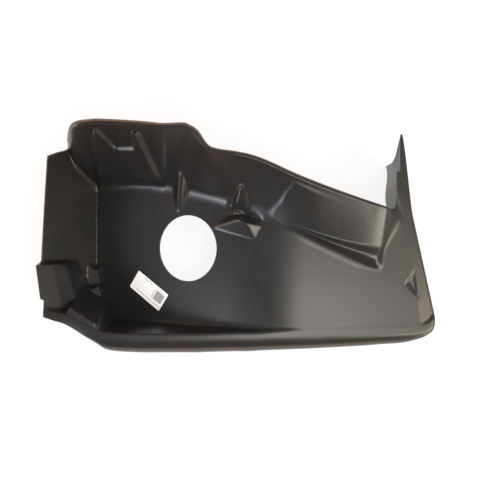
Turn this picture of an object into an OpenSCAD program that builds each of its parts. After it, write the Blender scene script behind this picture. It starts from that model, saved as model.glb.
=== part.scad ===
/* [Outline] */
// Length of the whole liner
liner_l = 701; // [601:2:761]
// Width of the whole liner, with its fin
liner_w = 401.6; // [341.6:1:441.6]

/* [Sheet] */
// Thickness of the formed sheet
sheet_t = 3; // [2:0.5:4]
// Distance over which the lip turns into the wall
lip_soft = 8; // [4:1:12]
// Distance over which the near wall turns into the floor panel
foot_soft = 9; // [4:1:14]
// Distance over which the floor panel turns into the far wall
fold_soft = 10; // [4:1:16]

/* [Floor panel] */
// Tilt of the sloping half of the floor panel, in degrees
panel_tilt = 25.6; // [20:0.2:28]
// Place of the deep corner line along the length
corner_x = -279; // [-285:1:-270]
// Height of the level half of the floor panel over its deep corner
level_z = 149; // [135:1:155]
// Length over which the slope eases into the level half
bend_soft = 24; // [10:1:40]
// Steepness of the left flange, rise over run
flange_rise = 1.85; // [1.6:0.05:2]
// Fall of the right-hand strip towards its outer edge, rise over run
strip_fall = 0.16; // [0:0.02:0.3]

/* [Large hole] */
// Diameter of the large hole
hole_d = 120; // [90:2:130]
// Place of the hole's centre along the length
hole_x = -96; // [-105:1:-85]
// Place of the hole's centre across the width
hole_y = -15; // [-30:1:-10]

/* [Lip and end wall] */
// Height of the lip's crown
lip_z = 150; // [148:1:156]
// Width of the lip's flat crown
crown_w = 10; // [6:1:14]
// Draft of the near wall, run over rise
wall_draft = 0.03; // [0.01:0.01:0.08]
// Depth from the strip to the foot of the end wall
end_depth = 151; // [130:1:151]
// Roll radius at the strip's outer edge
end_roll = 6; // [4:1:8]
// Reach of the fin's tip past the strip
fin_reach = 66; // [30:1:75]
// Reach of the fin's foot past the strip
fin_foot = 24; // [10:1:30]
// Depth of the fin's tip below the strip
fin_drop = 4; // [2:1:20]
// Slope of the fin's free edge, run over rise
fin_slope = 0.68; // [0.4:0.02:1]

/* [Ribs] */
// Height of the rib beside the hole, over the fold
rib_a_rise = 20; // [10:1:24]
// Height of the small rib, over the fold
rib_b_rise = 17; // [10:1:22]
// Height of the wedge between the hole and the wall
wedge_rise = 13; // [6:1:18]
// Height that the wall's raised block stands proud
block_rise = 16; // [6:1:22]
// Depth of the dimple at the strip's fold
dimple_depth = 7; // [3:1:10]

/* [Label] */
// Length of the paper label
label_l = 78; // [50:1:90]
// Width of the paper label
label_w = 37; // [25:1:45]
// Thickness of the paper label
label_t = 0.4; // [0.3:0.1:0.6]
// Corner radius of the paper label
label_r = 2.5; // [1:0.5:5]
// Place of the label's middle along the length
label_x = -170; // [-180:1:-160]
// Place of the label's middle across the width
label_y = -94; // [-100:1:-85]
// Turn of the label on the panel, in degrees
label_turn = -36.5; // [-50:0.5:-20]

/* [Hidden] */

// The drawing is at full size for this length and width, and is stretched for others
drawn_l = 701;
drawn_w = 401.6;
grow_x = liner_l / drawn_l;
grow_y = liner_w / drawn_w;
// Middle of the drawing, which is measured from the hole's side of the panel
mid_x = -6.4 * grow_x;
mid_y = 1.36 * grow_y;
rest_z = -1.32;
label_gap = 0.05;

// Rows across the sheet, as shares of the floor panel and of the far wall
panel_rows = [0.04, 0.09, 0.15, 0.22, 0.31, 0.42, 0.53, 0.62, 0.69, 0.75, 0.8, 0.85, 0.9, 0.95];
wall_rows = [0.08, 0.18, 0.3, 0.42, 0.54, 0.63, 0.7, 0.79, 0.9];
// Rows of the rolled edges: angles of the roll, then shares of the skirt below it
roll_angles = [30, 60, 90];
skirt_rows = [0.1, 1];
rim_angles = [35, 70, 100];

// Stations along the length: the fold of floor and far wall, the rim, the lip,
// the lip's [roll radius, skirt depth], the rim's roll radius, and the steps to the next
stations = [
    [[-339, 145], [-338, 147, 127], [-341, -126], [3, 8], 2, 2],
    [[-328, 154], [-327, 156, 104], [-325, -130], [5, 14], 2, 2],
    [[-315, 160], [-313, 165, 84], [-306, -133], [8, 22], 4, 3],
    [[-306, 138], [-300, 177, 134], [-287, -141], [10, 28], 8, 3],
    [[-292, 118], [-279, 188, 190], [-267, -152], [12, 30], 11, 3],
    [[-276, 102], [-249, 190, 206], [-247, -160.5], [16, 32], 12, 3],
    [[-255, 104], [-226, 190, 208], [-227, -165], [24, 36], 12, 4],
    [[-197, 103], [-175, 187, 209], [-177, -167], [26, 38], 12, 4],
    [[-145, 93], [-132, 183, 209], [-133, -167], [26, 38], 12, 1],
    [[-137, 98], [-122, 183, 209], [-125, -167], [26, 38], 12, 2],
    [[-119, 93.5], [-102, 184, 208], [-109, -167], [26, 38], 12, 1],
    [[-111, 91], [-94, 184, 208], [-101, -167], [26, 38], 12, 1],
    [[-103, 90], [-90, 182, 207], [-94, -167], [26, 38], 12, 3],
    [[-83, 86], [-78, 175.5, 206], [-76, -167], [26, 38], 11, 3],
    [[-54, 79], [-53, 150, 200], [-48, -166], [26, 38], 8, 4],
    [[-12, 65], [-7, 142, 196], [-7, -165], [26, 38], 7, 4],
    [[10, 58], [15, 137.5, 195], [15, -165], [26, 38], 7, 3],
    [[38, 49], [43, 128, 193], [45, -164], [25, 37], 7, 2],
    [[54, 40], [90, 107, 189], [76, -163], [25, 37], 7, 4],
    [[109, 5], [134, 89.5, 186], [121, -162], [24, 36], 7, 4],
    [[166, -25], [178, 74.5, 183], [177, -160], [23, 35], 6, 4],
    [[217, -47], [219, 61.5, 180], [225, -158], [22, 34], 5, 2],
    [[239, -38], [245, 54, 177], [249, -157], [21, 36], 4, 2],
    [[256, -4], [257, 50, 168], [286, -156], [19, 50], 4, 2],
    [[282, 33], [268, 55, 150], [313, -154], [13, 84], 3, 1],
    [[285, 45], [271, 90, 150], [322, -151], [11, 118], 3, 1],
    [[288, 58], [272.5, 118, 149], [328.5, -148], [9, 142], 3, 1],
    [[289.5, 68], [277, 118, 147], [333.5, -141], [end_roll, end_depth], 3, 0]
];

// Fold between the floor panel and the right-hand strip
strip_fold = [[282, 33], [313, -152]];

// Corners of the corner block at the lower left
outer_top = [-356.5, -45.3, 142];
outer_low = [-341, -126.4, 150];
crease_top = [-332.6, -42.5, 124];
crease_low = [-311.9, -106.3, 122];
brow_top = [-313.9, -39.7, 100];
brow_low = [-297.3, -115.4, 138];
stair_left = [-291.5, -88, 30];
ledge_left = [-294.6, -115.9, 142];
ledge_right = [-245.3, -149, 146];
face_foot = [-259, -111, 46];
drop_foot = [-236, -151, 30];

function clamp(x) = min(max(x, 0), 1);
function ease(x) = let (t = clamp(x)) t * t * (3 - 2 * t);
function hump(x) = let (t = clamp(1 - abs(x))) t * t * (3 - 2 * t);
function soft_max(a, b, k) = let (h = max(k - abs(a - b), 0) / k) max(a, b) + h * h * k / 4;
function soft_min(a, b, k) = -soft_max(-a, -b, k);
function unit(v) = norm(v) > 0 ? v / norm(v) : v;
function mix(a, b, t) = a + (b - a) * t;
// Distance of a place from the line from a to b, positive on its left
function side(a, b, x, y) = let (d = unit(b - a)) d[0] * (y - a[1]) - d[1] * (x - a[0]);

// Height at a place of the plane through three points
function plane_z(a, b, c, x, y) = let (n = cross(b - a, c - a))
    a[2] - (n[0] * (x - a[0]) + n[1] * (y - a[1])) / n[2];

// Height of the floor: sloping panel, level panel, left flange and strip
function floor_z(x, y) = let (
        slope = soft_min(tan(panel_tilt) * grow_x * (x - corner_x), level_z, bend_soft),
        rise = flange_rise - 0.0022 * (50 - y),
        past = side(strip_fold[0], strip_fold[1], x, y),
        strip = level_z + 1 - strip_fall * max(past, 0)
    ) min(soft_max(slope, rise * (corner_x - x), 10), strip);

// Ribs, wedge, block and dimple, as heights over the plain sheet
function crest(y, foot_y, foot_z, rise) = foot_z + (y - foot_y) * rise;
function rib(x, y, z, left, right, right_slope, crest_z) = let (
        top = crest_z - 2.6 * max(left - x, 0) - right_slope * max(x - right, 0)
    ) max(soft_max(top, z, 3) - z, 0);
function wedge(x, y) = wedge_rise / 13 * max(0, min(
        0.47 * side([-49, 22], [28, 0], x, y),
        0.83 * side([-9, 50], [-49, 24], x, y),
        1.24 * side([40, 23], [-9, 50], x, y),
        0.28 * side([28, 0], [44, 21], x, y)
    ));
// Raised field on the far wall, with a notch in its top edge
function block(x, y) = block_rise * min(
        ease(side([-276, 100], [-244, 192], x, y) / -5),
        ease(side([-138, 96], [-166, 180], x, y) / 6),
        ease((y - 101) / 6),
        ease(side([-240, 183], [-166, 176], x, y) / -6 + 1)
    ) * (1 - min(
        ease(side([-222, 160], [-242, 182], x, y) / -5),
        ease(side([-180, 150], [-178, 178], x, y) / 4),
        ease(side([-222, 161], [-181, 156], x, y) / 8)
    ));
function groove(x, y) = -8 * hump(side([-279, 100], [-249, 190], x, y) / 8 - 0.6)
    * ease((y - 112) / 30);
function dimple(x, y) = let (
        inside = min(
            side([301, -54], [288, -73], x, y),
            side([288, -76], [307, -99], x, y),
            6 - side(strip_fold[0], strip_fold[1], x, y)
        )
    ) -min(0.9 * max(inside, 0), 0.5 * dimple_depth);
// Step along the foot of the wall, widening to the right, and the crease that bounds it
function ledge(x, y) = let (
        over = side([54, 40], [217, -47], x, y),
        wide = 5 + 22.5 * pow((x - 54) / 163, 2),
        grow = ease((x - 60) / 110) * ease((250 - x) / 16),
        shelf = 8 * ease((over / wide - 0.12) / 0.5) - 8 * ease((over / wide - 0.7) / 0.6),
        panel = 3.2 * ease(side([52, 43], [92, 102], x, y) / -2.5) * ease((190 - x) / 90)
    ) grow * shelf + panel * ease((over - 2) / 4);

// Corner block: terraces that climb from the deep corner to a flat ledge at the lip
function corner_block(x, y) = let (
        brow = min(
            plane_z(outer_top, outer_low, crease_top, x, y),
            plane_z(crease_top, crease_low, brow_top, x, y),
            plane_z(brow_top, brow_low, stair_left, x, y)
        ),
        stair = 22 + 20 * ease(side([-274, -86], [-293, -93], x, y) / 3),
        top = lip_z - 2 - 5 * max(side([-305.6, -131.5], [-295.4, -117.1], x, y), 0),
        face = soft_min(plane_z(ledge_left, ledge_right, face_foot, x, y), top, 3),
        stair_side = 22 - 6 * side([-276, -50], [-244, -154], x, y),
        face_side = plane_z(ledge_right, face_foot, drop_foot, x, y),
        inner = max(min(stair, stair_side), soft_min(face, face_side, 5)),
        brow_side = 22 - 6 * side([-276, -50], [-284, -110], x, y),
        head = -6 * soft_max(
            side([-349, -40], [-300, -33], x, y),
            side([-303, -42], [-279, -51], x, y), 3
        )
    ) min(soft_max(min(brow, brow_side), inner, 4), floor_z(x, y) + head);

function proud(x, y, z) =
    max(rib(x, y, z, -0.12 * (121 - y) - 108, -0.14 * (121 - y) - 99.5, 1.2,
            crest(y, 52, 79, 0.65 * rib_a_rise / 20)),
        rib(x, y, z, -0.27 * (92 - y), 0.12 * (92 - y) + 11, 2, crest(y, 45, 132, 0.6 * rib_b_rise / 17)),
        wedge(x, y))
    + block(x, y) + groove(x, y) + dimple(x, y) + ledge(x, y)
    + (x < -200 && y < -25 ? max(corner_block(x, y) - z, 0) : 0);

// Fine stations, eased through the listed ones
function spline(a, b, c, d, t) = 0.5 * (2 * b + (c - a) * t + (2 * a - 5 * b + 4 * c - d) * t * t
    + (3 * b - a - 3 * c + d) * t * t * t);
last = len(stations) - 1;
function near(i) = stations[min(max(i, 0), last)];
function between(i, t, part) = spline(near(i - 1)[part], near(i)[part], near(i + 1)[part],
    near(i + 2)[part], t);
fine = [
    for (i = [0 : last]) for (s = [0 : max(stations[i][5], 1) - 1])
        let (t = stations[i][5] == 0 ? 0 : s / stations[i][5])
            [for (part = [0 : 4]) between(i, t, part)]
];
columns = len(fine);
tongue = 4;

// Soft corner from a to c round b, as three points
function soft_corner(a, b, c, reach) = let (
        cut = min(reach, 0.45 * norm(a - b), 0.45 * norm(c - b)),
        p = b + unit(a - b) * cut,
        q = b + unit(c - b) * cut
    ) [p, (p + 2 * b + q) / 4, q];

function on_floor(p) = [p[0], p[1], floor_z(p[0], p[1])];

// The left flange's outer edge swells outward on its way down to the corner block
function bowed(p) = [p[0] - clamp((corner_x - p[0]) / 62) * clamp((p[1] + 132) / 85)
    * (13 * clamp((147 - p[1]) / 187) + 4 * ease((-38 - p[1]) / 6)), p[1]];

// One cross-section of the plain sheet, from the lip's crown to the rim
function section(s) = let (
        ridge_z = min(lip_z, floor_z(s[2][0], s[2][1]) + 400),
        crown = [s[2][0], s[2][1] - crown_w / 2, ridge_z],
        edge = [s[2][0], s[2][1] + crown_w / 2, ridge_z],
        depth = max(ridge_z - floor_z(s[2][0], s[2][1]), 0),
        foot = on_floor([s[2][0], s[2][1] + crown_w / 2 + 5 + wall_draft * depth]),
        fold = on_floor(s[0]),
        panel = [for (t = panel_rows) on_floor(bowed(mix([foot[0], foot[1]], s[0], t)))]
    ) concat(
        [crown],
        soft_corner(crown, edge, foot, lip_soft),
        soft_corner(edge, foot, panel[0], foot_soft),
        panel,
        soft_corner(panel[len(panel) - 1], fold, s[1], fold_soft),
        [for (t = wall_rows) mix(fold, s[1], t)],
        [s[1]]
    );

plain = [for (s = fine) section(s)];
rows = len(plain[0]);

// Path of the lower rolled edge: along the lip, then up the strip's outer edge
low_path = concat([for (i = [0 : columns - 1]) [i, 0]], [for (j = [1 : rows - 1]) [columns - 1, j]]);
low_count = len(low_path);
high_count = columns - tongue + 1;

function flat_unit(v) = unit([v[0], v[1], 0]);
function at(p) = plain[p[0]][p[1]];
function low_out(k) = let (
        d = flat_unit(at(low_path[min(k + 1, low_count - 1)]) - at(low_path[max(k - 1, 0)]))
    ) [d[1], -d[0], 0];
function high_out(k) = let (
        d = flat_unit(plain[min(k + 1, columns - 1)][rows - 1] - plain[max(k - 1, 0)][rows - 1])
    ) [-d[1], d[0], 0];

// Reach of the fin at a depth below the strip
function fin_at(depth) = depth < fin_drop ? fin_reach * depth / fin_drop
    : max(fin_reach - fin_slope * (depth - fin_drop), fin_foot);

// Rolled edge points: [front, outward direction of the face]
function low_roll(k) = let (
        p = at(low_path[k]),
        out = low_out(k),
        turn = k < columns - 1 ? fine[k][3] : [end_roll, end_depth + p[2] - lip_z],
        r = turn[0],
        fin = k < columns ? 0 : ease((p[1] - 40) / 78),
        lean = 0.03 - (k < columns ? 0 : 0.09 * hump((p[1] - 66) / 46))
    ) concat(
        [for (a = roll_angles) let (drop = r * (1 - cos(a)))
            [p + out * r * sin(a) - [0, 0, drop] + [0, fin * fin_at(drop), 0],
                out * sin(a) + [0, 0, cos(a)]]],
        [for (t = skirt_rows) let (drop = r + t * (turn[1] - r))
            [p + out * (r + lean * drop) - [0, 0, drop] + [0, fin * fin_at(drop), 0], out]]
    );
function high_roll(k) = let (
        p = plain[k][rows - 1],
        out = high_out(k),
        r = fine[k][4]
    ) [for (a = rim_angles)
        [p + out * r * sin(a) - [0, 0, r * (1 - cos(a))], out * sin(a) + [0, 0, cos(a)]]];

low_edge = [for (k = [0 : low_count - 1]) low_roll(k)];
high_edge = [for (k = [0 : high_count - 1]) high_roll(k)];

// Direction across the sheet at a grid point, leaning to the vertical
function across(i, j) = let (
        along = plain[min(i + 1, columns - 1)][j] - plain[max(i - 1, 0)][j],
        over = plain[i][min(j + 1, rows - 1)] - plain[i][max(j - 1, 0)]
    ) unit(cross(along, over));

// Nothing stands proud on the lip's crown or at the rim
function calm(j) = j == 0 ? 0 : ease((rows - 1.2 - j) / 2);
function lift(i, j) = let (p = plain[i][j]) [0, 0, calm(j) * proud(p[0], p[1], p[2])];
function back_way(i, j) = let (n = across(i, j), up = lift(i, j)[2]) unit(n + [0, 0, min(up, 20) / 20]);

// Stretches a point of the drawing to the liner's length and width
function placed(p) = [p[0] * grow_x, p[1] * grow_y, p[2]];

grid_front = [for (i = [0 : columns - 1]) for (j = [0 : rows - 1]) placed(plain[i][j] + lift(i, j))];
grid_back = [for (i = [0 : columns - 1]) for (j = [0 : rows - 1])
    grid_front[i * rows + j] - sheet_t * back_way(i, j)];
low_front = [for (e = low_edge) for (p = e) placed(p[0])];
low_back = [for (e = low_edge) for (p = e) placed(p[0]) - sheet_t * p[1]];
high_front = [for (e = high_edge) for (p = e) placed(p[0])];
high_back = [for (e = high_edge) for (p = e) placed(p[0]) - sheet_t * p[1]];

low_rows = len(roll_angles) + len(skirt_rows);
high_rows = len(rim_angles);
low_start = columns * rows;
high_start = low_start + low_count * low_rows;
side_count = high_start + high_count * high_rows;

function grid_id(i, j) = i * rows + j;
function low_id(k, m) = m == 0 ? grid_id(low_path[k][0], low_path[k][1]) : low_start + k * low_rows + m - 1;
function high_id(k, m) = m == 0 ? grid_id(k, rows - 1) : high_start + k * high_rows + m - 1;

function split(a, b, c, d) = [[a, b, c], [a, c, d]];
front_faces = concat(
    [for (i = [0 : columns - 2]) for (j = [0 : rows - 2])
        each split(grid_id(i, j), grid_id(i, j + 1), grid_id(i + 1, j + 1), grid_id(i + 1, j))],
    [for (k = [0 : low_count - 2]) for (m = [0 : low_rows - 1])
        each split(low_id(k, m), low_id(k + 1, m), low_id(k + 1, m + 1), low_id(k, m + 1))],
    [for (k = [0 : high_count - 2]) for (m = [0 : high_rows - 1])
        each split(high_id(k, m), high_id(k, m + 1), high_id(k + 1, m + 1), high_id(k + 1, m))]
);
// Outline of the sheet, once round
outline = concat(
    [for (k = [0 : low_count - 1]) low_id(k, low_rows)],
    [for (m = [low_rows - 1 : -1 : 1]) low_id(low_count - 1, m)],
    [for (i = [columns - 1 : -1 : high_count]) grid_id(i, rows - 1)],
    [for (m = [0 : high_rows]) high_id(high_count - 1, m)],
    [for (k = [high_count - 2 : -1 : 0]) high_id(k, high_rows)],
    [for (m = [high_rows - 1 : -1 : 1]) high_id(0, m)],
    [for (j = [rows - 1 : -1 : 0]) grid_id(0, j)],
    [for (m = [1 : low_rows - 1]) low_id(0, m)]
);
edge_faces = [
    for (n = [0 : len(outline) - 1])
        let (a = outline[n], b = outline[(n + 1) % len(outline)])
            each split(a, b, b + side_count, a + side_count)
];

module sheet() {
    polyhedron(
        points = concat(grid_front, low_front, high_front, grid_back, low_back, high_back),
        faces = concat(
            front_faces,
            [for (f = front_faces) [f[2] + side_count, f[1] + side_count, f[0] + side_count]],
            edge_faces
        )
    );
}

// Places a thing on the sloping panel, square to it
module on_panel(x, y) {
    translate([x, y, tan(panel_tilt) * (x - corner_x * grow_x)]) rotate([0, -panel_tilt, 0]) children();
}

module liner() {
    color("#2b2a2d") translate([-mid_x, -mid_y, -rest_z]) difference() {
        sheet();
        on_panel(hole_x, hole_y) cylinder(h = 60, d = hole_d, center = true, $fn = 96);
    }
}

module paper_label() {
    color("white") translate([-mid_x, -mid_y, -rest_z]) on_panel(label_x, label_y)
        translate([0, 0, label_gap]) rotate([0, 0, label_turn]) linear_extrude(label_t) hull()
            for (sx = [-1, 1]) for (sy = [-1, 1])
                translate([sx * (label_l / 2 - label_r), sy * (label_w / 2 - label_r)])
                    circle(r = label_r, $fn = 32);
}

liner();
paper_label();
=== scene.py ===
import math

import bpy
import numpy as np
from mathutils import Matrix, Vector


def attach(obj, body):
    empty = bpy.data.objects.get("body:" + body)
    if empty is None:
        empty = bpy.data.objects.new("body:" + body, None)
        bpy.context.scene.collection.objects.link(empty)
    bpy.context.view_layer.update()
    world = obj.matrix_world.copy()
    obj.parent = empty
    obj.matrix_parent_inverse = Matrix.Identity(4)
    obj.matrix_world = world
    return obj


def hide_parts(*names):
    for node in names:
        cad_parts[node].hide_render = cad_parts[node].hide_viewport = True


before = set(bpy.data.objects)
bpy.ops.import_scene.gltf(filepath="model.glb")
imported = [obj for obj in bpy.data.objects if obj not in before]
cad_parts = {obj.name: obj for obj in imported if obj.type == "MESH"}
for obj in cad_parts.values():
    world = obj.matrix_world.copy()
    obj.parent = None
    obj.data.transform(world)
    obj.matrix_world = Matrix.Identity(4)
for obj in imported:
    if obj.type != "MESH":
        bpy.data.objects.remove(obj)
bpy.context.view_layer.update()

mm = 0.001

# where the drawing's datum lies in the part's own frame, in mm
drawing = {"midX": -6.4, "midY": 1.36, "restZ": -1.32}

# the photograph was taken from straight above, so the camera looks down
photoCamera = {
    "height": 1350.0,        # mm over the floor
    "focalPixels": 693.0,    # for a picture 480 pixels wide
    "pictureWidth": 480.0,
    "sensor": 36.0,
    "nearest": 0.05, "farthest": 20.0,
}


def inFrame(x, y, z=0.0):
    return ((x - drawing["midX"]) * mm, (y - drawing["midY"]) * mm, (z - drawing["restZ"]) * mm)


def makeCamera():
    data = bpy.data.cameras.new("photoCamera")
    data.sensor_width = photoCamera["sensor"]
    data.lens = photoCamera["sensor"] * photoCamera["focalPixels"] / photoCamera["pictureWidth"]
    data.clip_start, data.clip_end = photoCamera["nearest"], photoCamera["farthest"]
    cam = bpy.data.objects.new("photoCamera", data)
    cam.location = inFrame(0, 0, photoCamera["height"])
    bpy.context.scene.collection.objects.link(cam)
    bpy.context.scene.camera = cam


makeCamera()
print("camera placed")

# sizes of the formed sheet, in mm; tilts in degrees, rises and falls in mm for each mm along
linerShape = {
    "thickness": 3.0,
    # reach of the soft corners at the lip, at the near wall's foot and at the far fold
    "lipSoft": 8.0, "footSoft": 9.0, "foldSoft": 15.0,
    # sloping panel, its corner with the flange and its bend into the level panel
    "panelTilt": 25.6, "cornerX": -279.0, "cornerSoft": 3.0, "levelZ": 149.8, "bendSoft": 40.0,
    "flangeRise": 1.85, "flangeTwist": 0.0022, "flangeTwistY": 50.0,
    "stripLift": 0.2, "stripFall": 0.16,
    "holeD": 120.0, "holeX": -96.0, "holeY": -15.0, "holeCut": 60.0,
    # near wall with its lip, and the skirt below
    "lipZ": 150.0, "crownWidth": 10.0, "wallDraft": 0.03, "footRun": 5.0, "skirtLean": 0.03,
    # end wall and its fin
    "endDepth": 151.0, "endRoll": 6.0, "finReach": 66.0, "finFoot": 24.0, "finDrop": 4.0, "finSlope": 0.68,
    "finStartY": 40.0, "finGrow": 78.0, "tuck": 0.09, "tuckY": 66.0, "tuckWidth": 46.0,
    "wedgeRise": 18.0, "moatDepth": 6.0, "blockRise": 16.0, "dimpleDepth": 7.0,
    "grooveDepth": 8.0, "ledgeRise": 8.0, "wallStep": 1.2, "headRise": 6.0,
}
# how the flange and the near corner bulge outward, to the left
bow = {"depth": 11.0, "growX": 62.0, "startY": -132.0, "growY": 85.0, "endY": 147.0, "fadeY": 187.0,
       "cornerDepth": 4.0, "cornerY": -38.0, "cornerGrow": 6.0}
# how finely the sheet is meshed, and how its rows lie across the panel, as shares of its width
linerMesh = {"stepFactor": 4, "panelRows": 80, "wallRows": 50, "cornerPoints": 6, "rollPoints": 9,
             "skirtPoints": 5, "rimPoints": 7, "rimTurn": 100.0, "sharpAngle": 50.0, "holePoints": 160,
             "firstRow": 0.02, "lastRow": 0.99, "rowSpread": 0.075, "nearShare": 0.1, "farShare": 0.14}

# fold of floor and far wall, rim, lip, [lip roll, skirt], rim roll, steps to the next station
stations = [
    [[-339, 145], [-338, 147, 127], [-341, -126], [3, 8], 2, 2],
    [[-328, 154], [-327, 156, 104], [-325, -130], [5, 14], 2, 2],
    [[-315, 160], [-313, 165, 84], [-306, -133], [8, 22], 4, 3],
    [[-306, 140], [-300, 177, 134], [-287, -141], [10, 28], 8, 3],
    [[-292, 121], [-279, 188, 190], [-267, -152], [12, 30], 11, 3],
    [[-276, 107], [-249, 190, 206], [-247, -160.5], [16, 32], 12, 3],
    [[-255, 109], [-226, 190, 208], [-227, -165], [24, 36], 12, 4],
    [[-197, 107.5], [-175, 187, 209], [-177, -167], [26, 38], 12, 4],
    [[-145, 98.5], [-132, 183, 209], [-133, -167], [26, 38], 12, 1],
    [[-137, 100], [-122, 183, 209], [-125, -167], [26, 38], 12, 2],
    [[-119, 95], [-102, 184, 208], [-109, -167], [26, 38], 12, 1],
    [[-111, 91], [-94, 184, 208], [-101, -167], [26, 38], 12, 1],
    [[-103, 90], [-90, 182, 207], [-94, -167], [26, 38], 12, 3],
    [[-83, 86], [-78, 175.5, 206], [-76, -167], [26, 38], 11, 3],
    [[-54, 79], [-53, 150, 200], [-48, -166], [26, 38], 8, 4],
    [[-12, 65], [-7, 142, 196], [-7, -165], [26, 38], 7, 4],
    [[10, 58], [15, 137.5, 195], [15, -165], [26, 38], 7, 3],
    [[38, 49], [43, 128, 193], [45, -164], [25, 37], 7, 2],
    [[54, 40], [90, 107, 189], [76, -163], [25, 37], 7, 4],
    [[109, 5], [134, 89.5, 186], [121, -162], [24, 36], 7, 4],
    [[166, -25], [178, 74.5, 183], [177, -160], [23, 35], 6, 4],
    [[217, -47], [219, 61.5, 180], [225, -158], [22, 34], 5, 2],
    [[239, -38], [245, 54, 177], [249, -157], [21, 36], 4, 2],
    [[256, -4], [257, 50, 168], [286, -156], [19, 50], 4, 2],
    [[282, 33], [268, 55, 150], [313, -154], [13, 84], 3, 1],
    [[285, 45], [271, 90, 150], [322, -151], [11, 118], 3, 1],
    [[288, 58], [272.5, 118, 149], [328.5, -148], [9, 142], 3, 1],
    [[289.5, 68], [277, 118, 147], [333.5, -141], [6, 151], 3, 0],
]
stripFold = ((282, 33), (313, -152))
tongueStations = 3   # stations past the rim's right end, which have a plain trimmed edge
fullLift = 20.0   # height of a feature from which its back lies straight below it, in mm


def clamp(x):
    return np.clip(x, 0.0, 1.0)


def ease(x):
    t = clamp(x)
    return t * t * (3 - 2 * t)


def hump(x):
    return ease(1 - np.abs(x))


def softMax(a, b, k):
    h = np.maximum(k - np.abs(a - b), 0) / k
    return np.maximum(a, b) + h * h * k / 4


def softMin(a, b, k):
    return -softMax(-np.asarray(a, float), -np.asarray(b, float), k)


def sideOf(a, b, x, y):
    # distance of a place from the line from a to b, positive on its left
    dx, dy = b[0] - a[0], b[1] - a[1]
    size = math.hypot(dx, dy)
    return (dx * (y - a[1]) - dy * (x - a[0])) / size


def unit(v):
    return v / np.maximum(np.linalg.norm(v, axis=-1, keepdims=True), 1e-9)


def floorHeight(x, y):
    s = linerShape
    slope = softMin(math.tan(math.radians(s["panelTilt"])) * (x - s["cornerX"]), s["levelZ"], s["bendSoft"])
    rise = s["flangeRise"] - s["flangeTwist"] * (s["flangeTwistY"] - y)
    past = sideOf(*stripFold, x, y)
    strip = s["levelZ"] + s["stripLift"] - s["stripFall"] * np.maximum(past, 0)
    return np.minimum(softMax(slope, rise * (s["cornerX"] - x), s["cornerSoft"]), strip)


# each rib: left and right edge of its crest at topY and how they spread below it, slope of its right
# face, foot and rise of its crest, and where it fades out
ribs = [
    {"topY": 121, "left": -108.0, "leftSpread": 0.12, "right": -99.5, "rightSpread": -0.14,
     "rightSlope": 0.92, "footY": 52, "footZ": 79, "rise": 0.65, "endY": 119},
    {"topY": 92, "left": 0.0, "leftSpread": 0.27, "right": 11.0, "rightSpread": 0.12,
     "rightSlope": 0.88, "footY": 45, "footZ": 132, "rise": 0.6, "endY": 92},
]
ribForm = {"leftSlope": 2.6, "leftSoft": 3.0, "rightSoft": 4.0, "footSoft": 3.0,
           "fadePast": 6.0, "fade": 9.0}


def ribHeight(rib, x, y, z):
    below = rib["topY"] - y
    left = rib["left"] - rib["leftSpread"] * below
    right = rib["right"] + rib["rightSpread"] * below
    crest = rib["footZ"] + (y - rib["footY"]) * rib["rise"]
    top = (crest - ribForm["leftSlope"] * softMax(left - x, 0, ribForm["leftSoft"])
           - rib["rightSlope"] * softMax(x - right, 0, ribForm["rightSoft"]))
    fade = ease((rib["endY"] + ribForm["fadePast"] - y) / ribForm["fade"])
    return np.maximum(softMax(top, z, ribForm["footSoft"]) - z, 0) * fade


def planeHeight(a, b, c, x, y):
    # height, at a place in plan, of the plane through three points
    n = np.cross(np.subtract(b, a), np.subtract(c, a))
    return a[2] - (n[0] * (x - a[0]) + n[1] * (y - a[1])) / n[2]


def least(*heights):
    low = heights[0]
    for h in heights[1:]:
        low = np.minimum(low, h)
    return low


# slope and foot line of each face, for a wedge 13 mm high, and how softly the faces meet
wedgeHeight = 13.0
wedgeFaces = {
    "front": (0.47, (-49, 22), (28, 0)), "back": (1.24, (40, 23), (-9, 50)),
    "left": (0.83, (-9, 50), (-49, 24)), "right": (0.41, (24, 0), (34.4, 20)),
}
wedgeSoft = {"ridge": 1.5, "ends": 2.0}


def wedge(x, y):
    face = {name: slope * sideOf(start, end, x, y) for name, (slope, start, end) in wedgeFaces.items()}
    ridge = softMin(face["front"], face["back"], wedgeSoft["ridge"])
    ends = softMin(face["left"], face["right"], wedgeSoft["ends"])
    top = softMin(ridge, ends, wedgeSoft["ends"])
    return linerShape["wedgeRise"] / wedgeHeight * np.maximum(top, 0)


moat = {"line": ((44, 24), (-9, 50)), "offset": 6.0, "halfWidth": 8.0,
        "startX": -26.0, "startRun": 14.0, "endX": 46.0, "endRun": 18.0}


def wedgeMoat(x, y):
    # crescent-shaped dip between the wedge and the foot of the wall
    across = hump((sideOf(*moat["line"], x, y) + moat["offset"]) / moat["halfWidth"])
    ends = ease((x - moat["startX"]) / moat["startRun"]) * ease((moat["endX"] - x) / moat["endRun"])
    return -linerShape["moatDepth"] * across * ends


# sides of the block and of its notch: foot line and run of the slope, minus where it rises to the right
blockSides = {"left": ((-276, 100), (-244, 192), -5.0), "right": ((-137, 96), (-165, 180), 11.0)}
blockFoot = {"y": 101.0, "run": 26.0}
blockTop = {"line": ((-240, 183), (-166, 176)), "run": 6.0}
notchSides = {"left": ((-220, 157), (-242, 182), -8.0), "right": ((-180, 150), (-178, 178), 6.0),
              "floor": ((-217, 152), (-181, 151), 13.5)}


def slopes(sides, x, y):
    return [ease(sideOf(start, end, x, y) / run) for start, end, run in sides.values()]


def block(x, y):
    # raised field on the far wall, with a notch in its top edge
    foot = ease((y - blockFoot["y"]) / blockFoot["run"])
    top = ease(1 - sideOf(*blockTop["line"], x, y) / blockTop["run"])
    body = least(*slopes(blockSides, x, y), foot, top)
    return linerShape["blockRise"] * body * (1 - least(*slopes(notchSides, x, y)))


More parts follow.
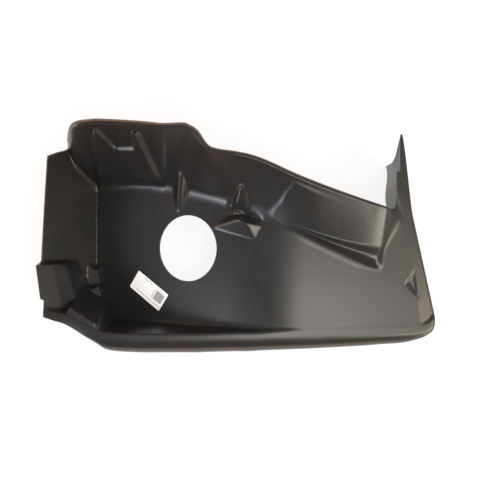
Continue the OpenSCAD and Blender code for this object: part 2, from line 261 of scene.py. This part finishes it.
hollow = {"line": ((-279, 100), (-249, 190)), "halfWidth": 8.0, "offset": 0.6, "startY": 112.0, "run": 30.0}


def groove(x, y):
    # hollow to the left of the block
    across = hump(sideOf(*hollow["line"], x, y) / hollow["halfWidth"] - hollow["offset"])
    return -linerShape["grooveDepth"] * across * ease((y - hollow["startY"]) / hollow["run"])


dimpleForm = {"upper": ((301, -54), (288, -73)), "lower": ((288, -76), (307, -99)), "reach": 6.0,
              "slope": 0.9, "share": 0.5}


def dimple(x, y):
    # shallow triangular hollow in the strip's edge
    inside = least(sideOf(*dimpleForm["upper"], x, y), sideOf(*dimpleForm["lower"], x, y),
                   dimpleForm["reach"] - sideOf(*stripFold, x, y))
    deepest = dimpleForm["share"] * linerShape["dimpleDepth"]
    return -np.minimum(dimpleForm["slope"] * np.maximum(inside, 0), deepest)


# the shelf starts at x 54 and widens along its length; its rise and fall are shares of its width
shelfForm = {"line": ((54, 40), (217, -47)), "narrow": 5.0, "widen": 22.5, "startX": 54.0, "length": 163.0,
             "growX": 60.0, "growRun": 110.0, "endX": 250.0, "endRun": 16.0,
             "riseFrom": 0.12, "riseRun": 0.5, "fallFrom": 0.7, "fallRun": 0.6}
stepForm = {"line": ((52, 43), (92, 102)), "run": 1.6, "endX": 190.0, "endRun": 90.0,
            "startPast": 2.0, "startRun": 4.0}


def ledge(x, y):
    # shelf along the foot of the wall, widening to the right, and the step that bounds the wall there
    f, t = shelfForm, stepForm
    over = sideOf(*f["line"], x, y)
    share = over / (f["narrow"] + f["widen"] * ((x - f["startX"]) / f["length"]) ** 2)
    grow = ease((x - f["growX"]) / f["growRun"]) * ease((f["endX"] - x) / f["endRun"])
    shelf = ease((share - f["riseFrom"]) / f["riseRun"]) - ease((share - f["fallFrom"]) / f["fallRun"])
    step = ease(-sideOf(*t["line"], x, y) / t["run"]) * ease((t["endX"] - x) / t["endRun"])
    above = ease((over - t["startPast"]) / t["startRun"])
    return linerShape["ledgeRise"] * grow * shelf + linerShape["wallStep"] * step * above


# corners of the faces of the near left block, with their heights, and lines in plan, all in mm
cornerPoints = {
    "outerTop": (-356.5, -45.3, 142), "outerLow": (-341, -126.4, 150),
    "creaseTop": (-332.6, -42.5, 124), "creaseLow": (-311.9, -106.3, 122),
    "browTop": (-313.9, -39.7, 100), "browLow": (-297.3, -115.4, 138), "stairLeft": (-291.5, -88, 30),
    "ledgeLeft": (-294.6, -115.9, 142), "ledgeRight": (-245.3, -149, 146),
    "faceFoot": (-259, -111, 46), "dropFoot": (-236, -151, 30),
}
cornerLines = {
    "stairEdge": ((-274, -86), (-293, -93)), "stairSide": ((-276, -50), (-244, -154)),
    "browSide": ((-276, -50), (-284, -110)), "topEdge": ((-305.6, -131.5), (-295.4, -117.1)),
    "headLeft": ((-349, -40), (-300, -33)), "headRight": ((-303, -42), (-279, -51)),
}
cornerSteps = {"lowZ": 22.0, "rise": 20.0, "run": 3.0, "sideFall": 6.0, "topFall": 5.0, "topDrop": 2.0,
               "faceSoft": 3.0, "sideSoft": 5.0, "headSoft": 3.0, "allSoft": 4.0,
               "endX": -200.0, "endY": -25.0}


def cornerBlock(x, y):
    # brow beside the flange, stair below it and face below the lip
    c, steps = cornerPoints, cornerSteps
    past = {name: sideOf(*line, x, y) for name, line in cornerLines.items()}
    brow = least(planeHeight(c["outerTop"], c["outerLow"], c["creaseTop"], x, y),
                 planeHeight(c["creaseTop"], c["creaseLow"], c["browTop"], x, y),
                 planeHeight(c["browTop"], c["browLow"], c["stairLeft"], x, y),
                 steps["lowZ"] - steps["sideFall"] * past["browSide"])
    stair = np.minimum(steps["lowZ"] + steps["rise"] * ease(past["stairEdge"] / steps["run"]),
                       steps["lowZ"] - steps["sideFall"] * past["stairSide"])
    top = linerShape["lipZ"] - steps["topDrop"] - steps["topFall"] * np.maximum(past["topEdge"], 0)
    face = softMin(planeHeight(c["ledgeLeft"], c["ledgeRight"], c["faceFoot"], x, y), top, steps["faceSoft"])
    faceSide = planeHeight(c["ledgeRight"], c["faceFoot"], c["dropFoot"], x, y)
    inner = np.maximum(stair, softMin(face, faceSide, steps["sideSoft"]))
    head = linerShape["headRise"] * softMin(-past["headLeft"], -past["headRight"], steps["headSoft"])
    return least(softMax(brow, inner, steps["allSoft"]), floorHeight(x, y) + head)


def proud(x, y, z):
    # height that the features add to the plain sheet
    raised = np.maximum.reduce([ribHeight(rib, x, y, z) for rib in ribs] + [wedge(x, y)])
    nearCorner = (x < cornerSteps["endX"]) & (y < cornerSteps["endY"])
    corner = np.maximum(cornerBlock(x, y) - z, 0) * nearCorner
    return raised + wedgeMoat(x, y) + block(x, y) + groove(x, y) + dimple(x, y) + ledge(x, y) + corner


def spline(a, b, c, d, t):
    # smooth curve from b to c that also heeds a and d
    return 0.5 * (2 * b + (c - a) * t + (2 * a - 5 * b + 4 * c - d) * t * t
                  + (3 * b - a - 3 * c + d) * t ** 3)


def fineStations():
    # places on the smooth curves through the stations, each as a row of ten numbers: fold x and y,
    # rim x, y and z, lip x and y, lip roll, skirt, rim roll
    flat = [np.array([*s[0], *s[1], *s[2], *s[3], s[4]], float) for s in stations]
    last = len(flat) - 1
    out = []
    for i, s in enumerate(stations):
        steps = s[5] * linerMesh["stepFactor"]
        near = [flat[min(max(i + k, 0), last)] for k in (-1, 0, 1, 2)]
        out += [spline(*near, n / steps) for n in range(steps)] if steps else [flat[i]]
    return np.array(out)


def softCorner(a, b, c, reach):
    # rounds b between a and c, as a row of points for each station
    lenA, lenC = (np.linalg.norm(v - b, axis=1, keepdims=True) for v in (a, c))
    cut = np.minimum(reach, 0.45 * np.minimum(lenA, lenC))
    p, q = b + unit(a - b) * cut, b + unit(c - b) * cut
    return [(1 - t) ** 2 * p + 2 * t * (1 - t) * b + t * t * q
            for t in np.linspace(0, 1, linerMesh["cornerPoints"])]


def onFloor(p):
    return np.column_stack([p[:, 0], p[:, 1], floorHeight(p[:, 0], p[:, 1])])


def bowed(p):
    x, y = p[:, 0], p[:, 1]
    swell = clamp((linerShape["cornerX"] - x) / bow["growX"]) * clamp((y - bow["startY"]) / bow["growY"])
    swell *= (bow["depth"] * clamp((bow["endY"] - y) / bow["fadeY"])
              + bow["cornerDepth"] * ease((bow["cornerY"] - y) / bow["cornerGrow"]))
    return np.column_stack([x - swell, y])


def plainSheet(fine):
    # columns run along the length, rows from the lip's crown to the rim
    s = linerShape
    fold2, rim, ridge = fine[:, 0:2], fine[:, 2:5], fine[:, 5:7]
    half = s["crownWidth"] / 2
    lipZ = np.full(len(fine), s["lipZ"])
    crown = np.column_stack([ridge[:, 0], ridge[:, 1] - half, lipZ])
    edge = np.column_stack([ridge[:, 0], ridge[:, 1] + half, lipZ])
    depth = np.maximum(lipZ - floorHeight(ridge[:, 0], ridge[:, 1]), 0)
    run = half + s["footRun"] + s["wallDraft"] * depth
    foot = onFloor(np.column_stack([ridge[:, 0], ridge[:, 1] + run]))
    fold = onFloor(fold2)
    even = np.linspace(linerMesh["firstRow"], linerMesh["lastRow"], linerMesh["panelRows"])
    share = even - linerMesh["rowSpread"] * np.sin(2 * np.pi * even)
    toFold = fold2 - foot[:, :2]
    near = foot[:, :2] + toFold * linerMesh["nearShare"]
    far = fold2 - toFold * linerMesh["farShare"]
    lipFillet = softCorner(crown, edge, foot, s["lipSoft"])
    footFillet = softCorner(edge, foot, onFloor(near), s["footSoft"])
    foldFillet = softCorner(onFloor(bowed(far)), fold, rim, s["foldSoft"])
    start, end = footFillet[-1][:, :2], foldFillet[0][:, :2]
    panel = [onFloor(bowed(start + (end - start) * t)) for t in share]
    high = foldFillet[-1]
    wall = [high + (rim - high) * t for t in np.linspace(0, 1.0, linerMesh["wallRows"] + 1)[1:]]
    return np.stack([crown, *lipFillet, *footFillet, *panel, *foldFillet, *wall], axis=1)


def centralSpan(a, axis):
    # difference between the neighbours on both sides, one-sided at the ends
    ahead = np.concatenate([np.take(a, range(1, a.shape[axis]), axis), np.take(a, [-1], axis)], axis)
    behind = np.concatenate([np.take(a, [0], axis), np.take(a, range(a.shape[axis] - 1), axis)], axis)
    return ahead - behind


def finAt(depth):
    # reach of the fin past the end wall, at a depth below its top
    s = linerShape
    low = np.maximum(s["finReach"] - s["finSlope"] * (depth - s["finDrop"]), s["finFoot"])
    return np.where(depth < s["finDrop"], s["finReach"] * depth / s["finDrop"], low)


def rolledEdge(path, out, radius, depth, angles, skirt, lean, fin):
    # rolls the sheet's edge outward and down: lists of front points and their directions
    s = linerShape
    up = np.array([0.0, 0.0, 1.0])
    r = radius[:, None]
    front, way = [], []
    for a in np.radians(angles):
        drop = r * (1 - math.cos(a))
        reach = fin[:, None] * finAt(drop) * np.array([0.0, 1.0, 0.0])
        front.append(path + out * r * math.sin(a) - drop * up + reach)
        way.append(out * math.sin(a) + up * math.cos(a))
    for t in skirt:
        drop = r + t * (depth[:, None] - r)
        reach = fin[:, None] * finAt(drop) * np.array([0.0, 1.0, 0.0])
        tuck = s["tuck"] * hump((path[:, 1:2] - s["tuckY"]) / s["tuckWidth"]) * (out[:, :1] > 0.9)
        front.append(path + out * (r + (lean - tuck) * drop) - drop * up + reach)
        way.append(out)
    return np.stack(front, 1), np.stack(way, 1)


def level(along):
    along[:, 2] = 0
    return unit(along)


def lowEdge(fine, plain):
    # lip roll with its skirt, and the end wall with its fin
    s = linerShape
    columns, rows = plain.shape[:2]
    lowPath = [(i, 0) for i in range(columns)] + [(columns - 1, j) for j in range(1, rows)]
    path = np.array([plain[p] for p in lowPath])
    along = level(centralSpan(path, 0))
    out = np.column_stack([along[:, 1], -along[:, 0], np.zeros(len(along))])
    spread = 4 * linerMesh["stepFactor"]
    kernel = np.hanning(spread * 2 + 1)
    padded = np.vstack([np.repeat(out[:1], spread, 0), out, np.repeat(out[-1:], spread, 0)])
    smooth = [np.convolve(padded[:, k], kernel / kernel.sum(), "valid") for k in range(3)]
    radius = np.concatenate([fine[:, 7], np.full(rows - 1, s["endRoll"])])
    depth = np.concatenate([fine[:, 8], s["endDepth"] + path[columns:, 2] - s["lipZ"]])
    fin = np.concatenate([np.zeros(columns), ease((path[columns:, 1] - s["finStartY"]) / s["finGrow"])])
    angles = np.linspace(0, 90, linerMesh["rollPoints"] + 1)[1:]
    # shares of the skirt's depth
    skirt = np.concatenate([[0.04, 0.12], np.linspace(0.13, 1, linerMesh["skirtPoints"])])
    front, way = rolledEdge(path, unit(np.column_stack(smooth)), radius, depth, angles, skirt,
                            s["skirtLean"], fin)
    return lowPath, front, way


def highEdge(fine, plain, highCount):
    # rolled rim along the far wall
    along = level(centralSpan(plain[:, -1], 0)[:highCount])
    out = np.column_stack([-along[:, 1], along[:, 0], np.zeros(len(along))])
    angles = np.linspace(0, linerMesh["rimTurn"], linerMesh["rimPoints"] + 1)[1:]
    none = np.zeros(highCount)
    return rolledEdge(plain[:highCount, -1], out, fine[:highCount, 9], none, angles, [], 0, none)


def quads(ids, flip):
    a, b, c, d = ids[:-1, :-1], ids[1:, :-1], ids[1:, 1:], ids[:-1, 1:]
    q = np.stack([a, d, c, b] if flip else [a, b, c, d], -1)
    return q.reshape(-1, 4)


def sheetFaces(gridId, lowId, highId, count):
    # front faces, the same again behind them, and the cut edge all round
    highCount = len(highId)
    frontFaces = np.vstack([quads(gridId, False), quads(lowId, True), quads(highId, False)])
    outline = [*lowId[:, -1], *lowId[-1, -2:0:-1], *gridId[:highCount - 1:-1, -1], *highId[-1],
               *highId[-2::-1, -1], *highId[0, -2:0:-1], *gridId[0, ::-1], *lowId[0, 1:-1]]
    outline = np.array(outline)
    ahead = np.roll(outline, -1)
    edgeFaces = np.column_stack([outline, outline + count, ahead + count, ahead])
    return np.vstack([frontFaces, frontFaces[:, ::-1] + count, edgeFaces])


def sheetMesh():
    fine = fineStations()
    plain = plainSheet(fine)
    columns, rows = plain.shape[:2]
    highCount = columns - tongueStations * linerMesh["stepFactor"]

    # features rise straight up; the back keeps its distance, straight down where they are high
    # and fade out over the last rows below the rim
    rowNumber = np.arange(rows)[None, :]
    calm = np.where(rowNumber == 0, 0.0, ease((rows - 4 - rowNumber) / 5))
    lift = calm * proud(plain[..., 0], plain[..., 1], plain[..., 2])
    grid = plain.copy()
    grid[..., 2] += lift
    normal = unit(np.cross(centralSpan(plain, 0), centralSpan(plain, 1)))
    normal[..., 2] += np.minimum(np.abs(lift), fullLift) / fullLift
    normal = unit(normal)

    lowPath, lowFront, lowWay = lowEdge(fine, plain)
    highFront, highWay = highEdge(fine, plain, highCount)
    flat = [part.reshape(-1, 3) for part in (grid, lowFront, highFront)]
    front = np.vstack(flat)
    way = np.vstack([part.reshape(-1, 3) for part in (normal, lowWay, highWay)])
    points = np.vstack([front, front - linerShape["thickness"] * way])
    points[:, 2] = np.maximum(points[:, 2], drawing["restZ"])   # nothing lies below the floor

    gridId = np.arange(columns * rows).reshape(columns, rows)
    lowId = len(flat[0]) + np.arange(len(flat[1])).reshape(len(lowPath), -1)
    lowId = np.column_stack([[gridId[p] for p in lowPath], lowId])
    highId = len(flat[0]) + len(flat[1]) + np.arange(len(flat[2])).reshape(highCount, -1)
    highId = np.column_stack([gridId[:highCount, -1], highId])
    return points, sheetFaces(gridId, lowId, highId, len(front))


def newPiece(name, points, faces, sharp):
    shifted = (points - [drawing["midX"], drawing["midY"], drawing["restZ"]]) * mm
    mesh = bpy.data.meshes.new(name)
    mesh.from_pydata(shifted.tolist(), [], faces.tolist())
    mesh.validate()
    mesh.shade_smooth()
    mesh.set_sharp_from_angle(angle=math.radians(sharp))
    piece = bpy.data.objects.new(name, mesh)
    bpy.context.scene.collection.objects.link(piece)
    return piece


def panelMatrix(x, y):
    # places a thing on the sloping panel, square to it
    tilt = math.radians(linerShape["panelTilt"])
    z = math.tan(tilt) * (x - linerShape["cornerX"])
    return Matrix.Translation(inFrame(x, y, z)) @ Matrix.Rotation(-tilt, 4, "Y")


def cutHole(piece):
    bpy.ops.mesh.primitive_cylinder_add(vertices=linerMesh["holePoints"], depth=linerShape["holeCut"] * mm,
                                        radius=linerShape["holeD"] / 2 * mm)
    cutter = bpy.context.object
    cutter.matrix_world = panelMatrix(linerShape["holeX"], linerShape["holeY"])
    cut = piece.modifiers.new("hole", "BOOLEAN")
    cut.operation, cut.solver, cut.object = "DIFFERENCE", "EXACT", cutter
    bpy.context.view_layer.update()
    done = bpy.data.meshes.new_from_object(piece.evaluated_get(bpy.context.evaluated_depsgraph_get()))
    piece.modifiers.clear()
    piece.data = done
    bpy.data.objects.remove(cutter)
    done.shade_smooth()
    done.set_sharp_from_angle(angle=math.radians(linerMesh["sharpAngle"]))


points, faces = sheetMesh()
liner = newPiece("wheelArchLiner", points, faces, linerMesh["sharpAngle"])
cutHole(liner)
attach(liner, "root")
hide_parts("liner")
print("liner sheet", sum(len(p.vertices) - 2 for p in liner.data.polygons), "triangles")

label = {"length": 78.0, "width": 37.0, "thickness": 0.4, "corner": 2.0, "x": -170.8, "y": -94.8,
         "turn": -34.2, "gap": 0.05, "printLift": 0.03}
# plain grey shapes in place of print: start and end along the length, then across, as shares
labelPrint = {
    "upperRule": [0.22, 0.53, 0.085, 0.125], "cornerRule": [0.68, 0.96, 0.075, 0.105],
    "lowerRule": [0.18, 0.97, 0.835, 0.87], "sideRule": [0.63, 0.655, 0.18, 0.66],
    "block": [0.69, 0.945, 0.18, 0.68],
}


def makeLabel():
    pts = []
    for sx, sy, start in ((1, 1, 0), (-1, 1, 90), (-1, -1, 180), (1, -1, 270)):
        for a in np.radians(np.linspace(start, start + 90, 9)):
            pts.append((sx * (label["length"] / 2 - label["corner"]) + label["corner"] * math.cos(a),
                        sy * (label["width"] / 2 - label["corner"]) + label["corner"] * math.sin(a)))
    n = len(pts)
    top = label["gap"] + label["thickness"]
    verts = [(px, py, label["gap"]) for px, py in pts] + [(px, py, top) for px, py in pts]
    faces = [tuple(range(n, 2 * n)), tuple(range(n - 1, -1, -1))]
    faces += [(i, (i + 1) % n, n + (i + 1) % n, n + i) for i in range(n)]
    for u0, u1, w0, w1 in labelPrint.values():
        first = len(verts)
        for u, w in ((u0, w1), (u1, w1), (u1, w0), (u0, w0)):
            along, across = (u - 0.5) * label["length"], (0.5 - w) * label["width"]
            verts.append((along, across, top + label["printLift"]))
        faces.append(tuple(range(first, first + 4)))
    mesh = bpy.data.meshes.new("paperLabel")
    turn = panelMatrix(label["x"], label["y"]) @ Matrix.Rotation(math.radians(label["turn"]), 4, "Z")
    mesh.from_pydata([(px * mm, py * mm, pz * mm) for px, py, pz in verts], [], faces)
    mesh.transform(turn)
    printed = len(faces) - len(labelPrint)
    for i, name in enumerate(labelPrint):
        mesh.polygons[printed + i].material_index = 2 if name == "block" else 1
    piece = bpy.data.objects.new("paperLabel", mesh)
    bpy.context.scene.collection.objects.link(piece)
    return piece


paper = makeLabel()
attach(paper, "root")
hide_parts("paper_label")
print("label made")

# looks of the sheet: colours, shares and roughness as numbers up to 1, sizes per metre, depth in metres
plastic = {
    "colour": (0.0135, 0.0131, 0.0133), "dustColour": (0.032, 0.028, 0.026), "dust": 0.14,
    "roughness": 0.33, "roughnessSpread": 0.03,
    "patchSize": 12.0, "patchFrom": 0.38, "patchTo": 0.68,
    "grainSize": 620.0, "grainDepth": 0.00012, "grainSoftness": 0.45,
}
paperLook = {
    "colour": (0.95, 0.95, 0.96), "rule": (0.5, 0.5, 0.52), "block": (0.36, 0.36, 0.38), "roughness": 0.6,
    "toneSize": 40.0, "toneFrom": 0.3, "toneTo": 0.75, "tone": 0.97,
    "fibreSize": 900.0, "fibreDepth": 0.00003, "fibreSoftness": 0.9,
}


def newGroup(name, inputs, outputs):
    # inputs as name, kind and starting value, outputs as name and kind
    group = bpy.data.node_groups.new(name, "ShaderNodeTree")
    for title, kind, start in inputs:
        socket = group.interface.new_socket(name=title, in_out="INPUT", socket_type=kind)
        if start is not None:
            socket.default_value = start
    for title, kind in outputs:
        group.interface.new_socket(name=title, in_out="OUTPUT", socket_type=kind)
    return group, group.nodes.new("NodeGroupInput"), group.nodes.new("NodeGroupOutput")


def noise(tree, vector, detail, roughness=0.5):
    node = tree.nodes.new("ShaderNodeTexNoise")
    node.inputs["Detail"].default_value = detail
    node.inputs["Roughness"].default_value = roughness
    tree.links.new(vector, node.inputs["Vector"])
    return node


def makeGrainGroup():
    # fine moulded grain: soft cells with a little noise over them
    group, start, end = newGroup("mouldedGrain", [
        ("Vector", "NodeSocketVector", None), ("Size", "NodeSocketFloat", 600.0),
        ("Softness", "NodeSocketFloat", 0.5)], [("Height", "NodeSocketFloat")])
    cells = group.nodes.new("ShaderNodeTexVoronoi")
    cells.feature = "F1"
    fine = noise(group, start.outputs["Vector"], 3.0, 0.6)
    mix = group.nodes.new("ShaderNodeMix")
    links = group.links
    links.new(start.outputs["Vector"], cells.inputs["Vector"])
    links.new(start.outputs["Size"], cells.inputs["Scale"])
    links.new(start.outputs["Size"], fine.inputs["Scale"])
    links.new(start.outputs["Softness"], mix.inputs["Factor"])
    links.new(cells.outputs["Distance"], mix.inputs["A"])
    links.new(fine.outputs["Fac"], mix.inputs["B"])
    links.new(mix.outputs["Result"], end.inputs["Height"])
    return group


def makePatchGroup():
    # broad soft patches, where hands and storage have dulled a surface
    group, start, end = newGroup("dulledPatches", [
        ("Vector", "NodeSocketVector", None), ("Size", "NodeSocketFloat", 20.0),
        ("From", "NodeSocketFloat", 0.35), ("To", "NodeSocketFloat", 0.7)], [("Mask", "NodeSocketFloat")])
    cloud = noise(group, start.outputs["Vector"], 5.0, 0.62)
    cloud.inputs["Distortion"].default_value = 0.4
    spread = group.nodes.new("ShaderNodeMapRange")
    spread.interpolation_type = "SMOOTHSTEP"
    links = group.links
    links.new(start.outputs["Size"], cloud.inputs["Scale"])
    links.new(cloud.outputs["Fac"], spread.inputs["Value"])
    links.new(start.outputs["From"], spread.inputs["From Min"])
    links.new(start.outputs["To"], spread.inputs["From Max"])
    links.new(spread.outputs["Result"], end.inputs["Mask"])
    return group


grainGroup = makeGrainGroup()
patchGroup = makePatchGroup()


def placeGroup(tree, group, vector, **values):
    node = tree.nodes.new("ShaderNodeGroup")
    node.node_tree = group
    tree.links.new(vector, node.inputs["Vector"])
    for title, value in values.items():
        node.inputs[title].default_value = value
    return node


def newMaterial(name):
    mat = bpy.data.materials.new(name)
    mat.use_nodes = True
    tree = mat.node_tree
    place = tree.nodes.new("ShaderNodeTexCoord").outputs["Object"]
    return mat, tree, tree.nodes["Principled BSDF"], place


def addGrain(tree, bsdf, place, size, depth, softness):
    grain = placeGroup(tree, grainGroup, place, Size=size, Softness=softness)
    bump = tree.nodes.new("ShaderNodeBump")
    bump.inputs["Distance"].default_value = depth
    tree.links.new(grain.outputs["Height"], bump.inputs["Height"])
    tree.links.new(bump.outputs["Normal"], bsdf.inputs["Normal"])


def mixColours(tree, factor, first, second):
    mix = tree.nodes.new("ShaderNodeMix")
    mix.data_type = "RGBA"
    mix.inputs["A"].default_value = (*first, 1)
    mix.inputs["B"].default_value = (*second, 1)
    tree.links.new(factor, mix.inputs["Factor"])
    return mix.outputs["Result"]


def mathNode(tree, operation, first, second):
    # second may be a plain number
    node = tree.nodes.new("ShaderNodeMath")
    node.operation = operation
    tree.links.new(first, node.inputs[0])
    if isinstance(second, float):
        node.inputs[1].default_value = second
    else:
        tree.links.new(second, node.inputs[1])
    return node.outputs[0]


def plasticMaterial():
    mat, tree, bsdf, place = newMaterial("satinBlackPlastic")
    look = plastic
    patches = placeGroup(tree, patchGroup, place,
                         Size=look["patchSize"], From=look["patchFrom"], To=look["patchTo"])
    mask = patches.outputs["Mask"]
    dust = mathNode(tree, "MULTIPLY", mask, look["dust"])
    tree.links.new(mixColours(tree, dust, look["colour"], look["dustColour"]), bsdf.inputs["Base Color"])
    dull = tree.nodes.new("ShaderNodeMapRange")
    dull.inputs["To Min"].default_value = look["roughness"] - look["roughnessSpread"] / 2
    dull.inputs["To Max"].default_value = look["roughness"] + look["roughnessSpread"] / 2
    tree.links.new(mask, dull.inputs["Value"])
    tree.links.new(dull.outputs["Result"], bsdf.inputs["Roughness"])
    addGrain(tree, bsdf, place, look["grainSize"], look["grainDepth"], look["grainSoftness"])
    return mat


def paperMaterial(name, colour):
    mat, tree, bsdf, place = newMaterial(name)
    look = paperLook
    tone = placeGroup(tree, patchGroup, place,
                      Size=look["toneSize"], From=look["toneFrom"], To=look["toneTo"])
    darker = [look["tone"] * c for c in colour]
    tree.links.new(mixColours(tree, tone.outputs["Mask"], colour, darker), bsdf.inputs["Base Color"])
    bsdf.inputs["Roughness"].default_value = look["roughness"]
    addGrain(tree, bsdf, place, look["fibreSize"], look["fibreDepth"], look["fibreSoftness"])
    return mat


liner.data.materials.clear()
liner.data.materials.append(plasticMaterial())
for part, name in (("colour", "labelPaper"), ("rule", "greyRule"), ("block", "greyBlock")):
    paper.data.materials.append(paperMaterial(name, paperLook[part]))
print("materials made")

studio = {"floorSize": 6.0, "floorColour": (0.8, 0.8, 0.8), "floorRoughness": 0.9, "whiteShare": 0.86}
# the room: plain all round, brighter to the right, dark on the near side where the viewer stands
room = {"plain": 0.30, "plainColour": (0.95, 0.97, 1.0), "bright": 0.4, "brightColour": (1.0, 0.88, 0.72),
        "brightSide": (0.87, -0.17, 0.46), "brightFrom": 0.6, "brightTo": 1.0,
        "darkSide": (0.12, -0.77, 0.63), "darkFrom": 0.35, "darkTo": 0.9, "darkShare": 0.9}

# each lamp: place, the point it faces, size, radiance it shows, colour; the low cards tint the edges
lamps = {
    "topSoftbox": [(0.27, -0.44, 2.07), (0.13, -0.12, 0.15), (0.55, 0.3), 20.5, (1.0, 0.95, 0.88)],
    "topGlow": [(0.3, -0.1, 2.0), (0.13, -0.0, 0.15), (1.2, 0.6), 1.2, (1.0, 0.96, 0.9)],
    "leftWindow": [(-1.57, -0.89, 1.1), (-0.1, 0.1, 0.1), (0.42, 1.0), 16.5, (0.84, 0.88, 1.0)],
    "backWindow": [(-1.85, -0.45, 1.15), (-0.1, 0.0, 0.1), (0.5, 0.5), 1.0, (0.7, 0.8, 1.0)],
    "rightCream": [(1.25, -0.72, 1.1), (0.05, 0.05, 0.1), (0.5, 0.5), 14.0, (1.0, 0.93, 0.8)],
    "highCream": [(0.9, -0.92, 1.72), (0.1, -0.05, 0.15), (0.4, 0.36), 23.0, (1.0, 0.93, 0.8)],
    "lowCream": [(1.1, -1.07, 0.47), (-0.05, 0.05, 0.12), (0.6, 0.3), 12.0, (1.0, 0.93, 0.8)],
    "stripLight": [(1.2, -0.34, 1.5), (0.1, 0.0, 0.15), (0.45, 0.4), 14.0, (1.0, 0.85, 0.62)],
    "farCard": [(0.0, 0.7, 0.16), (0.0, 0.0, 0.12), (1.6, 0.24), 3.0, (1.0, 0.45, 0.15)],
    "nearCard": [(0.35, -0.7, 0.08), (0.35, 0.0, 0.12), (1.4, 0.15), 2.0, (1.0, 0.45, 0.13)],
    "leftCard": [(-0.8, 0.0, 0.16), (0.0, 0.0, 0.12), (1.2, 0.24), 3.2, (1.0, 0.45, 0.15)],
    "softFill": [(0.5, 0.3, 2.2), (-0.1, 0.0, 0.1), (1.3, 1.3), 5.2, (1.0, 0.98, 0.96)],
}
noShine = ["softFill"]   # lamps that fill in the shadows and show in no reflection


def makeFloor():
    # seen straight on, in a reflection or through glass it is nearly white, and it keeps its shadow
    bpy.ops.mesh.primitive_plane_add(size=studio["floorSize"])
    floor = bpy.context.object
    floor.name = "studioFloor"
    mat = bpy.data.materials.new("paleFloor")
    mat.use_nodes = True
    tree = mat.node_tree
    nodes, links = tree.nodes, tree.links
    bsdf = nodes["Principled BSDF"]
    bsdf.inputs["Base Color"].default_value = (*studio["floorColour"], 1)
    bsdf.inputs["Roughness"].default_value = studio["floorRoughness"]
    glow = nodes.new("ShaderNodeEmission")
    glow.inputs["Strength"].default_value = 1.0
    path = nodes.new("ShaderNodeLightPath")
    seen = mathNode(tree, "MAXIMUM", path.outputs["Is Camera Ray"], path.outputs["Is Glossy Ray"])
    seen = mathNode(tree, "MAXIMUM", seen, path.outputs["Is Transmission Ray"])
    mix = nodes.new("ShaderNodeMixShader")
    links.new(mathNode(tree, "MULTIPLY", seen, studio["whiteShare"]), mix.inputs["Fac"])
    links.new(bsdf.outputs[0], mix.inputs[1])
    links.new(glow.outputs[0], mix.inputs[2])
    links.new(mix.outputs[0], nodes["Material Output"].inputs["Surface"])
    floor.data.materials.append(mat)


def towards(tree, side, start, end):
    # how far the direction that is looked at lies towards one side of the room
    coord = tree.nodes.new("ShaderNodeTexCoord")
    dot = tree.nodes.new("ShaderNodeVectorMath")
    dot.operation = "DOT_PRODUCT"
    dot.inputs[1].default_value = side
    share = tree.nodes.new("ShaderNodeMapRange")
    share.interpolation_type = "SMOOTHSTEP"
    share.inputs["From Min"].default_value = start
    share.inputs["From Max"].default_value = end
    tree.links.new(coord.outputs["Generated"], dot.inputs[0])
    tree.links.new(dot.outputs["Value"], share.inputs["Value"])
    return share


def makeWorld():
    world = bpy.data.worlds.new("studioWorld")
    bpy.context.scene.world = world
    world.use_nodes = True
    tree = world.node_tree
    plain = tree.nodes["Background"]
    plain.inputs["Color"].default_value = (*room["plainColour"], 1)
    dark = towards(tree, room["darkSide"], room["darkFrom"], room["darkTo"])
    dark.inputs["To Min"].default_value = room["plain"]
    dark.inputs["To Max"].default_value = room["plain"] * (1 - room["darkShare"])
    tree.links.new(dark.outputs["Result"], plain.inputs["Strength"])
    side = tree.nodes.new("ShaderNodeBackground")
    side.inputs["Color"].default_value = (*room["brightColour"], 1)
    light = towards(tree, room["brightSide"], room["brightFrom"], room["brightTo"])
    light.inputs["To Max"].default_value = room["bright"]
    tree.links.new(light.outputs["Result"], side.inputs["Strength"])
    both = tree.nodes.new("ShaderNodeAddShader")
    tree.links.new(plain.outputs[0], both.inputs[0])
    tree.links.new(side.outputs[0], both.inputs[1])
    tree.links.new(both.outputs[0], tree.nodes["World Output"].inputs["Surface"])


def makeLamp(name, place, target, size, radiance, colour):
    # an area lamp whose power gives the radiance that a reflection of it shows
    data = bpy.data.lights.new(name, "AREA")
    data.shape, data.size, data.size_y = "RECTANGLE", size[0], size[1]
    data.energy = radiance * math.pi * size[0] * size[1]
    data.color = colour
    lamp = bpy.data.objects.new(name, data)
    lamp.location = place
    aim = Vector(target) - Vector(place)
    lamp.rotation_euler = aim.to_track_quat("-Z", "Y").to_euler()
    lamp.visible_glossy = name not in noShine
    bpy.context.scene.collection.objects.link(lamp)


makeFloor()
makeWorld()
for lampName, spec in lamps.items():
    makeLamp(lampName, *spec)
print("studio lit")

scene = bpy.context.scene
scene.view_settings.view_transform = "Standard"
